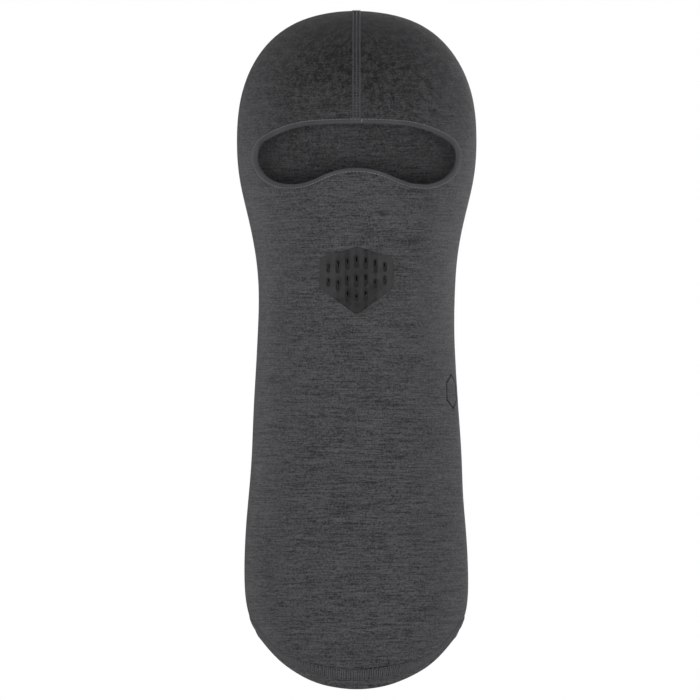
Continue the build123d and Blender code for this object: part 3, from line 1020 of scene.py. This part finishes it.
def build_cloth():
    """The tube with its eye opening and the holes behind the vent patch."""
    front_columns = [c for c in range(-60, 61)]
    open_quads, fills = set(), []
    eye_edge = EYE_LINE + EYE_AWAY * CLOTH_GROW

    def quads_where(test):
        rows = np.arange(FIRST_WALL_ROW + 60, ROW_COUNT - 14)
        columns = np.array(front_columns)
        grid = LATTICE[np.ix_(rows, columns % COLUMNS)]
        hit = test(grid[..., 0].ravel(), grid[..., 2].ravel()).reshape(len(rows), len(columns))
        quads = set()
        for a, b in zip(*np.nonzero(hit)):
            for row in (rows[a] - 1, rows[a]):
                for column in (columns[b] - 1, columns[b]):
                    quads.add((int(row), int(column)))
        return quads

    eye_quads = quads_where(lambda x, z: loop_distance(np.stack([x, z], 1), eye_edge, EYE_AWAY) < 1.1)
    box_low, box_high = (-21.0, PATCH_Z - 16.0), (21.0, PATCH_Z + 18.0)
    patch_quads = quads_where(
        lambda x, z: (x > box_low[0]) & (x < box_high[0]) & (z > box_low[1]) & (z < box_high[1])
    )
    eye_loops = [((eye_edge, EYE_AWAY), False)]
    fills.append((eye_quads, eye_loops, np.zeros((0, 2))))
    slot_pairs = [(loop, False) for loop in CLOTH_SLOTS]
    fills.append((patch_quads, slot_pairs, grid_inside(box_low, box_high, 1.9, slot_pairs, 0.9)))

    count = ROW_COUNT * COLUMNS
    extra_points, extra_places, faces, places = [], [], [], []
    for quads, loops, inner in fills:
        open_quads |= {(row, column % COLUMNS) for row, column in quads}
        corner_ids, edges, flat = {}, [], []

        def corner(row, column):
            key = (row, column)
            if key not in corner_ids:
                corner_ids[key] = len(flat)
                flat.append((float(column), float(row)))
            return corner_ids[key]

        for row, column in sorted(quads):
            sides = [
                ((row - 1, column), (row, column), (row, column + 1)),
                ((row + 1, column), (row + 1, column), (row + 1, column + 1)),
                ((row, column - 1), (row, column), (row + 1, column)),
                ((row, column + 1), (row, column + 1), (row + 1, column + 1)),
            ]
            for other, first, second in sides:
                if other not in quads:
                    edges.append((corner(*first), corner(*second)))
        border = {v: k for k, v in corner_ids.items()}
        loop_points = [line for (line, ways), outer in loops]
        new_points = np.concatenate(loop_points + [inner])
        new_places = near_lattice(new_points[:, 0], new_points[:, 1])
        holes_count = sum(len(line) for line in loop_points)
        keep_inner = []
        for k in range(holes_count, len(new_points)):
            column, row = new_places[k]
            ring = [(row + a, column + b) for a in (-0.6, 0.6) for b in (-0.6, 0.6)]
            if all((math.floor(r), math.floor(c)) in quads for r, c in ring):
                keep_inner.append(k)
        order = list(range(holes_count)) + keep_inner
        new_points, new_places = new_points[order], new_places[order]
        start = len(flat)
        flat.extend(map(tuple, new_places))
        first = start
        for line in loop_points:
            size = len(line)
            edges.extend((first + k, first + (k + 1) % size) for k in range(size))
            first += size
        found = delaunay_2d_cdt([Vector(p) for p in flat], edges, [], 0, 1e-6)
        sources = [origin[0] for origin in found[3]]
        table = np.array(flat)
        base = count + sum(len(p) for p in extra_points)
        extra_points.append(front_points(new_points[:, 0], new_points[:, 1], np.zeros(len(new_points))))
        extra_places.append(new_places)
        hole_lines = []
        first = start
        for line in loop_points:
            hole_lines.append(table[first:first + len(line)])
            first += len(line)
        for face in found[2]:
            ids = [sources[i] for i in face]
            middle = table[ids].mean(0)
            if (math.floor(middle[1]), math.floor(middle[0])) not in quads:
                continue
            if any(inside_polygon(middle, line) for line in hole_lines):
                continue
            a, b, c = (table[i] for i in ids)
            area = (b[0] - a[0]) * (c[1] - a[1]) - (b[1] - a[1]) * (c[0] - a[0])
            if area < 0:
                ids = ids[::-1]
            real, spots = [], []
            for i in ids:
                spots.append(table[i])
                if i in border:
                    row, column = border[i]
                    real.append(row * COLUMNS + column % COLUMNS)
                else:
                    real.append(base + i - start)
            faces.append(tuple(real))
            places.append(spots)

    points = np.concatenate([LATTICE.reshape(-1, 3)] + extra_points)
    for row in range(ROW_COUNT - 1):
        for column in range(COLUMNS):
            if (row, column) in open_quads:
                continue
            after = (column + 1) % COLUMNS
            face = [row * COLUMNS + column, row * COLUMNS + after]
            face += [(row + 1) * COLUMNS + after, (row + 1) * COLUMNS + column]
            spots = [(column, row), (column + 1, row), (column + 1, row + 1), (column, row + 1)]
            if row == ROW_COUNT - 2:
                # The last row closes on itself: each side of the seam meets the other.
                for k in (2, 3):
                    place = face[k] - (row + 1) * COLUMNS
                    face[k] = (row + 1) * COLUMNS + min(place, (COLUMNS - place) % COLUMNS)
                kept = [k for k in range(4) if face[k] not in face[:k]]
                face = [face[k] for k in kept]
                spots = [spots[k] for k in kept]
            faces.append(tuple(face))
            places.append(spots)

    mesh = bpy.data.meshes.new("knitted_tube")
    mesh.from_pydata((points * METRE).tolist(), [], faces)
    layer = mesh.uv_layers.new(name="knit")
    band_layer = mesh.uv_layers.new(name="hem")
    layer = mesh.uv_layers["knit"]
    width = 2 * math.pi * KNIT_RADIUS / COLUMNS
    uv = []
    padded_up = np.concatenate([LATTICE_UP, LATTICE_UP[:, :1]], 1)
    for spots in places:
        for column, row in spots:
            shifted = column % COLUMNS
            whole_row = min(int(math.floor(row)), ROW_COUNT - 2)
            whole_column = int(math.floor(shifted))
            a, b = row - whole_row, shifted - whole_column
            low = padded_up[whole_row, whole_column] * (1 - b) + padded_up[whole_row, whole_column + 1 if whole_column < COLUMNS else 0] * b
            high = padded_up[whole_row + 1, whole_column] * (1 - b) + padded_up[whole_row + 1, whole_column + 1 if whole_column < COLUMNS else 0] * b
            uv.extend((column * width, low * (1 - a) + high * a))
    layer.data.foreach_set("uv", uv)
    above_edge = np.interp([row for spots in places for column, row in spots], np.arange(ROW_COUNT), ABOVE_EDGE)
    band_layer.data.foreach_set("uv", np.stack([above_edge, 0 * above_edge], 1).ravel())
    mesh.polygons.foreach_set("use_smooth", [True] * len(mesh.polygons))
    mesh.materials.append(JERSEY)
    mesh.materials.append(JERSEY_INSIDE_PAINTED_LIGHT)
    thing = bpy.data.objects.new("knitted_tube", mesh)
    bpy.context.scene.collection.objects.link(thing)
    thick = thing.modifiers.new("thickness", "SOLIDIFY")
    thick.thickness = FABRIC * METRE
    thick.offset = -1
    thick.material_offset = 1
    bpy.context.view_layer.objects.active = thing
    bpy.ops.object.modifier_apply(modifier="thickness")
    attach(thing, ROOT_BODY)
    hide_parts("knit_tube", "hem_fold")
    return thing


def inside_polygon(point, line):
    """True if a point lies inside a closed outline."""
    x, z = point
    first, second = line, np.roll(line, -1, axis=0)
    spans = (first[:, 1] > z) != (second[:, 1] > z)
    first, second = first[spans], second[spans]
    cross = first[:, 0] + (z - first[:, 1]) / (second[:, 1] - first[:, 1]) * (second[:, 0] - first[:, 0])
    return (cross > x).sum() % 2 == 1


tube = build_cloth()


# ---- the binding -------------------------------------------------------------------------
def around_eye(grow, lift, waver=None):
    """Points beside the binding's middle line, one for each of its stations."""
    grow = np.broadcast_to(grow, len(EYE_LINE))
    flat = EYE_LINE + EYE_AWAY * grow[:, None]
    lift = np.broadcast_to(lift, len(EYE_LINE)).astype(float)
    return front_points(flat[:, 0], flat[:, 1], lift)


def build_binding():
    """Tape folded over the cloth's raw edge: a front ply, a round fold and a back ply."""
    length, count = resampled(around_eye(0, 0), 1.0)
    run = length / length[-1]
    ripple = 0.05 * np.sin(2 * math.pi * 37 * run + 1.0) + 0.04 * np.sin(2 * math.pi * 61 * run)
    stray = 0.07 * np.sin(2 * math.pi * 9 * run + 0.4) + 0.04 * np.sin(2 * math.pi * 23 * run)
    profile = [
        (1.36, 0.03), (1.50, 0.15), (1.46, 0.30), (1.30, 0.40), (0.9, 0.45), (0.3, 0.52), (-0.3, 0.58),
        (-0.85, 0.54), (-1.2, 0.36), (-1.42, 0.0), (-1.48, -0.5), (-1.42, -1.0), (-1.25, -1.3), (-0.9, -1.5),
        (-0.4, -1.56), (0.3, -1.55), (0.9, -1.52), (1.3, -1.45), (1.46, -1.3), (1.45, -1.12), (1.34, -1.03),
        (0.4, -1.02), (-0.8, -1.02), (-0.84, -0.5), (-0.8, 0.02), (0.4, 0.02),
    ]
    rings, uv_rings = [], []
    covered = 0.0
    for k, (grow, lift) in enumerate(profile):
        edge = 1.0 if abs(grow) > 0.85 else 0.3
        outer = 1.0 if lift > 0.1 or lift < -1.1 else 0.0
        rings.append(around_eye(grow + stray * edge, lift + ripple * outer * np.sign(lift)))
        if k:
            covered += math.dist(profile[k], profile[k - 1])
        uv_rings.append(covered)
    shell = Shell()
    shell.loft(np.array(rings).transpose(1, 0, 2), closed_loft=True)
    tape = shell.piece("eye_opening_binding", TAPE, "binding_tape", "eye_binding")
    layer = tape.data.uv_layers.new(name="knit")
    stations, around = len(EYE_LINE), len(profile)
    uv = []
    for polygon in tape.data.polygons:
        i, j = divmod(min(polygon.vertices), around)
        for vertex in polygon.vertices:
            station, spot = divmod(vertex, around)
            uv.extend((length[station], uv_rings[spot]))
    layer.data.foreach_set("uv", uv)
    outward_faces(tape)
    return tape


build_binding()


def eye_at(run, grow, lift):
    """Points at shares of the way round the eye opening."""
    stations = run * len(EYE_LINE)
    index = np.arange(len(EYE_LINE) + 1)
    line = np.concatenate([EYE_LINE, EYE_LINE[:1]])
    away = np.concatenate([EYE_AWAY, EYE_AWAY[:1]])
    flat = np.stack([np.interp(stations, index, line[:, k] + away[:, k] * grow) for k in (0, 1)], 1)
    points = front_points(flat[:, 0], flat[:, 1], lift)
    bare = front_points(flat[:, 0], flat[:, 1], lift - 1.0)
    return points, points - bare


def eye_stitches(name, node, grow, lift, pitch):
    """A line of separate stitches sunk a little into the tape."""
    shell = Shell()
    line = around_eye(grow, lift)
    length, count = resampled(np.concatenate([line, line[:1]]), pitch)
    shares = np.arange(len(length)) / (len(length) - 1)
    sink = np.array([-0.22, 0.0, 0.10, 0.12, 0.08, -0.02, -0.24])
    for k in range(count):
        middle = (k + 0.5 + random.uniform(-0.06, 0.06)) / count
        reach = 0.40 * random.uniform(0.92, 1.05) / count
        spots = np.clip(np.linspace(middle - reach, middle + reach, 7), 0, 1)
        run = np.interp(spots * length[-1], length, shares)
        slant = np.linspace(-0.07, 0.07, 7) + random.uniform(-0.04, 0.04)
        sign = 1.0 if lift > 0 else -1.0
        points, up = eye_at(run, grow + 0.0, lift + sign * sink)
        flat_shift = slant[:, None] * np.cross(up, np.gradient(points, axis=0))
        points = points + flat_shift / np.linalg.norm(np.gradient(points, axis=0), axis=1)[:, None]
        shell.thread(points, up, 0.23, 0.17)
    return shell.piece(name, BINDING_THREAD, "binding_thread", node)


eye_stitches("binding_stitches_front", "binding_stitch_front", 1.0, 0.50, 2.4)
eye_stitches("binding_stitches_back", "binding_stitch_back", 1.0, -1.56, 2.4)


def build_tack():
    """A few turns of thread over the tape's overlap, just left of the crown seam."""
    low, high = node_box("binding_join_tack")
    middle_x, middle_z = (low[0] + high[0]) / 2, CROWN - EYE_TOP_DROP
    shell = Shell()
    for k in range(6):
        z = middle_z + (k - 2.5) * 0.29
        x = np.linspace(middle_x - 0.5, middle_x + 0.5, 6) + random.uniform(-0.05, 0.05)
        lift = 0.62 + 0.14 * np.sin(np.linspace(0.1, math.pi - 0.1, 6))
        points = front_points(x, np.full(6, z) + random.uniform(-0.03, 0.03), lift)
        shell.thread(points, np.tile((0, -1.0, 0.15), (6, 1)), 0.16, 0.13)
    return shell.piece("binding_tack", BINDING_THREAD, "binding_thread", "binding_join_tack")


build_tack()


# ---- the vent patch ------------------------------------------------------------------------
film("vent_film", FILM, "patch_film", "vent_patch", HEXAGON, FILM_SLOTS, 0.15, 0.75, 0.26, 0.0)
film("vent_adhesive", ADHESIVE, "patch_glue", "vent_patch_glue", HEXAGON, CLOTH_SLOTS, 0.01, 0.14, 0.05, 0.5)


# ---- the crown seam --------------------------------------------------------------------------
def seam_profile():
    """The middle line over the head, from the binding up and down the back, 0.1 mm apart."""
    front_root, back_root = math.sqrt(EYE_TOP_DROP - BINDING_HALF), math.sqrt(SEAM_BACK_DROP)
    root = np.linspace(-front_root, back_root, 3000)
    half, front, back, mid = section(np.abs(root))
    y = mid + np.where(root < 0, -front, back)
    line = np.stack([0 * y, y, CROWN - root ** 2], 1)
    length, count = resampled(line, 0.1)
    even = np.linspace(0, length[-1], count)
    return even, np.stack([np.interp(even, length, line[:, k]) for k in range(3)], 1)


SEAM_AT, SEAM_LINE = seam_profile()
SEAM_OUT = normal_at(SEAM_LINE)
CROWN_RADIUS = 62.0


def seam_points(at, x, lift):
    line = np.stack([np.interp(at, SEAM_AT, SEAM_LINE[:, k]) for k in range(3)], 1)
    out = np.stack([np.interp(at, SEAM_AT, SEAM_OUT[:, k]) for k in range(3)], 1)
    moved = line + np.outer(x, (1.0, 0, 0))
    rise = relief(moved) + lift - x ** 2 / (2 * CROWN_RADIUS)
    return moved + out * rise[:, None], out


def build_crown():
    """Three chains of stitches with rungs of thread between them."""
    total = SEAM_AT[-1]
    pitch = 2.0
    links = int(total / pitch)
    names = {-2.2: "right", 0.0: "middle", 2.2: "left"}
    for x in CORD_X:
        shell = Shell()
        for k in range(links):
            start = k * pitch + random.uniform(-0.08, 0.08)
            at = np.clip(np.linspace(start - 0.18, start + pitch + 0.18, 7), 0, total)
            lean = 0.13 * np.linspace(-1, 1, 7) * random.uniform(0.8, 1.2) + random.uniform(-0.05, 0.05)
            lift = 0.20 + 0.16 * np.sin(np.linspace(0, math.pi, 7))
            points, out = seam_points(at, x + lean, lift)
            shell.thread(points, out, 0.44, 0.26)
        side = names[x]
        shell.piece(f"crown_chain_{side}", SEAM_THREAD, "sewing_thread", f"crown_cord_{side}")
    for x in LADDER_X:
        shell = Shell()
        for k in range(links):
            at = (k + 0.5) * pitch + random.uniform(-0.07, 0.07) + np.linspace(-0.12, 0.12, 5)
            across = x + np.linspace(-0.62, 0.62, 5)
            lift = 0.08 + 0.14 * np.sin(np.linspace(0, math.pi, 5))
            points, out = seam_points(at, across, lift)
            shell.thread(points, out, 0.30, 0.16)
        side = "right" if x < 0 else "left"
        shell.piece(f"crown_rungs_{side}", SEAM_THREAD, "sewing_thread", f"crown_ladder_{side}")
    shell = Shell()
    for k in range(links):
        at = (k + 0.5) * pitch + np.linspace(-0.8, 0.8, 9) * (1 if k % 2 else -1)
        across = np.linspace(-2.6, 2.6, 9)
        lift = -1.04 - 0.16 * np.sin(np.linspace(0, math.pi, 9))
        points, out = seam_points(np.clip(at, 0, total), across, lift)
        shell.thread(points, -out, 0.34, 0.15)
    shell.piece("crown_cover_thread", SEAM_THREAD, "sewing_thread", "crown_inner_thread")


build_crown()


# ---- the hem's stitching ---------------------------------------------------------------------
def hem_run(up, pitch):
    """Angles of evenly spaced stitches round the hem."""
    points = hem_points(FINE_ANGLES, np.full(len(FINE_ANGLES), up))
    length, count = resampled(points, pitch)
    return length, count


def hem_line(name, node, up, lift, inside=False):
    length, count = hem_run(up, 3.0)
    shell = Shell()
    for k in range(count):
        middle = (k + 0.5 + random.uniform(-0.03, 0.03)) * length[-1] / count
        at = np.interp(np.linspace(middle - 1.2, middle + 1.2, 7), length, FINE_ANGLES)
        height = np.full(7, up) + np.linspace(-0.06, 0.06, 7)
        sink = lift + np.array([-0.16, 0.02, 0.09, 0.11, 0.09, 0.02, -0.16])
        points, out, upwards = hem_frame(at, height)
        points = points + out * (relief(points) + hem_relief(at, height) + sink)[:, None]
        shell.thread(points, out, 0.27, 0.19)
    return shell.piece(name, HEM_THREAD_PAINTED_LIGHTER, "sewing_thread", node)


def hem_bars(name, node, low, high, lift, direction):
    """Bars of looper thread from one needle line to the other."""
    length, count = hem_run((low + high) / 2, 1.5)
    shell = Shell()
    for k in range(count):
        middle = (k + 0.5 + random.uniform(-0.1, 0.1)) * length[-1] / count
        tilt = direction * (0.20 if k % 2 else 0.0) + random.uniform(-0.12, 0.12)
        at = np.interp(middle + np.linspace(-tilt, tilt, 8), length, FINE_ANGLES)
        height = np.linspace(low, high, 8)
        bulge = np.sin(np.linspace(0.12, math.pi - 0.12, 8)) * 0.12
        points, out, upwards = hem_frame(at, height)
        flat = relief(points) + (0 if lift < 0 else 1) * hem_relief(at, height) * 0.8
        points = points + out * (flat + lift + np.sign(lift) * bulge)[:, None]
        shell.thread(points, out * np.sign(lift), 0.44, 0.28)
    return shell.piece(name, HEM_THREAD_PAINTED_LIGHTER, "sewing_thread", node)


hem_line("hem_stitches_low", "hem_needle_thread_low", LINE_LOW, 0.26)
hem_line("hem_stitches_high", "hem_needle_thread_high", LINE_HIGH, 0.26)
hem_bars("hem_looper_bars", "hem_looper_thread", LINE_LOW + 0.1, LINE_HIGH - 0.1, 0.20, 1.0)
hem_bars("hem_inner_bars", "hem_inner_thread", LINE_LOW, LINE_HIGH, -2.34, -1.0)


# ---- the heat transfer -----------------------------------------------------------------------
def build_mark():
    """A plain six-sided ring on the side of the neck."""
    across = np.array([math.cos(MARK_ANGLE), math.sin(MARK_ANGLE), 0.0])
    outwards = np.array([math.sin(MARK_ANGLE), -math.cos(MARK_ANGLE), 0.0])

    def on_side(a, b, lift):
        near, far = np.full(len(a), 30.0), np.full(len(a), 110.0)
        start = np.outer(a, across) + np.array([0, 0, MARK_Z]) + np.outer(b, (0, 0, 1.0))
        for halving in range(36):
            reach = (near + far) / 2
            points = start + np.outer(reach, outwards)
            beyond = outside(points[:, 0], points[:, 1], np.sqrt(CROWN - points[:, 2])) > 0
            near, far = np.where(beyond, near, reach), np.where(beyond, reach, far)
        return lifted(points, normal_at(points), lift)

    def ring(radius, lift):
        places = []
        for k in range(6):
            first, second = math.radians(30 + 60 * k), math.radians(90 + 60 * k)
            for m in range(9):
                share = m / 9
                places.append([
                    radius * ((1 - share) * math.cos(first) + share * math.cos(second)),
                    radius * ((1 - share) * math.sin(first) + share * math.sin(second)),
                ])
        places = np.array(places)
        return on_side(places[:, 0], places[:, 1], np.full(len(places), lift))

    inner = MARK_RADIUS - MARK_STROKE
    profile = [
        (MARK_RADIUS, 0.0), (MARK_RADIUS, 0.10), (MARK_RADIUS - 0.15, 0.15), (MARK_RADIUS - 0.6, 0.16),
        (inner + 0.6, 0.16), (inner + 0.15, 0.15), (inner, 0.10), (inner, 0.0),
    ]
    rings = np.array([ring(radius, lift) for radius, lift in profile])
    shell = Shell()
    shell.loft(rings.transpose(1, 0, 2), closed_loft=True)
    thing = shell.piece("transfer_ring", TRANSFER, "transfer_film", "transfer_mark")
    outward_faces(thing)
    return thing


build_mark()


# ---- the studio, in metres ---------------------------------------------------------------------
ROOM_LIGHT = 0.5
CEILING_LIGHT = 0.20
SOFTBOXES = [
    ("front_softbox_left", (-0.2, -3.0, 0.06), (0.3, 0.3), 25.0),
    ("front_softbox_right", (0.2, -3.0, 0.06), (0.3, 0.3), 25.0),
    ("left_softbox", (-1.7, -0.1, 0.1), (0.6, 1.6), 5.0),
    ("right_softbox", (1.7, -0.1, 0.1), (0.6, 1.6), 6.0),
    ("back_softbox", (0.7, 3.0, 0.5), (0.8, 1.2), 30.0),
]
FRAME_WIDTH = 0.462              # what the camera takes in at the object
FRAME_MIDDLE_X = -0.0043
FRAME_MIDDLE_DROP = 0.2237


def build_studio():
    low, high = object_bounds()
    middle = (low + high) / 2
    floor_z = low.z - 0.02
    reach, sides = 4.0, 96
    points = [(0.0, 0.0, floor_z)]
    for k in range(sides):
        turn = 2 * math.pi * k / sides
        points.append((reach * math.cos(turn), reach * math.sin(turn), floor_z))
    faces = [(0, k + 1, (k + 1) % sides + 1) for k in range(sides)]
    mesh = bpy.data.meshes.new("studio_floor")
    mesh.from_pydata(points, [], faces)
    # Pale paper that runs out into the white room. To the camera it glows white as painted light, at half strength
    # near the object and full further out, which weakens the object's shadow on it.
    paper = Finish("pale_paper")
    place = paper.add("TexCoord").outputs["Object"]
    fibre = paper.noise(place, 700.0, 3.0, 0.6)
    paper.shade(
        Base_Color=paper.blend(fibre, grey(0.86), grey(0.90)),
        Roughness=0.95,
        Specular_IOR_Level=0.1,
        Normal=paper.bump(fibre, 0.05, 0.2),
    )
    far = paper.add("VectorMath", {0: place, 1: (1.0, 1.0, 0.0)}, operation="MULTIPLY").outputs[0]
    far = paper.add("VectorMath", {0: far}, operation="LENGTH").outputs["Value"]
    far = paper.ranged(far, 0.18, 0.75, 0.5, 1.0)
    seen = paper.math("MULTIPLY", far, paper.add("LightPath").outputs["Is Camera Ray"])
    glow = paper.add("Emission", {"Color": (1.0, 1.0, 1.0, 1.0), "Strength": 1.0}).outputs[0]
    mixed = paper.add("MixShader", {0: seen, 1: paper.shader.outputs[0], 2: glow}).outputs[0]
    paper.tree.links.new(mixed, paper.tree.nodes["Material Output"].inputs["Surface"])
    mesh.materials.append(paper.material)
    ground = bpy.data.objects.new("studio_floor", mesh)
    bpy.context.scene.collection.objects.link(ground)

    # An even white room: bright to look at, softer as a light.
    world = bpy.data.worlds.new("soft_room")
    world.use_nodes = True
    bpy.context.scene.world = world
    nodes, links = world.node_tree.nodes, world.node_tree.links
    path = nodes.new("ShaderNodeLightPath")
    heights = nodes.new("ShaderNodeSeparateXYZ")
    links.new(nodes.new("ShaderNodeTexCoord").outputs["Generated"], heights.inputs[0])
    room = nodes.new("ShaderNodeMapRange")
    room.inputs["To Min"].default_value = ROOM_LIGHT
    room.inputs["To Max"].default_value = CEILING_LIGHT
    links.new(heights.outputs[2], room.inputs["Value"])
    strength = nodes.new("ShaderNodeMapRange")
    strength.inputs["To Max"].default_value = 1.0
    links.new(room.outputs["Result"], strength.inputs["To Min"])
    links.new(path.outputs["Is Camera Ray"], strength.inputs["Value"])
    nodes["Background"].inputs[0].default_value = (1.0, 1.0, 1.0, 1.0)
    links.new(strength.outputs["Result"], nodes["Background"].inputs[1])

    def softbox(name, place, size, power):
        light = bpy.data.lights.new(name, "AREA")
        light.shape = "RECTANGLE"
        light.size, light.size_y = size
        light.energy = power
        thing = bpy.data.objects.new(name, light)
        thing.location = middle + Vector(place)
        thing.rotation_euler = (middle - thing.location).to_track_quat("-Z", "Y").to_euler()
        thing.visible_camera = False
        bpy.context.scene.collection.objects.link(thing)

    for name, place, size, power in SOFTBOXES:
        softbox(name, place, size, power)

    camera = bpy.data.cameras.new("camera")
    camera.sensor_width = 36.0
    camera.lens = 1500.0
    camera.clip_end = 100.0
    thing = bpy.data.objects.new("camera", camera)
    distance = camera.lens / camera.sensor_width * FRAME_WIDTH
    thing.location = (FRAME_MIDDLE_X, -distance, CROWN * METRE - FRAME_MIDDLE_DROP)
    thing.rotation_euler = (math.pi / 2, 0, 0)
    bpy.context.scene.collection.objects.link(thing)
    bpy.context.scene.camera = thing
    bpy.context.scene.view_settings.view_transform = "Standard"


build_studio()
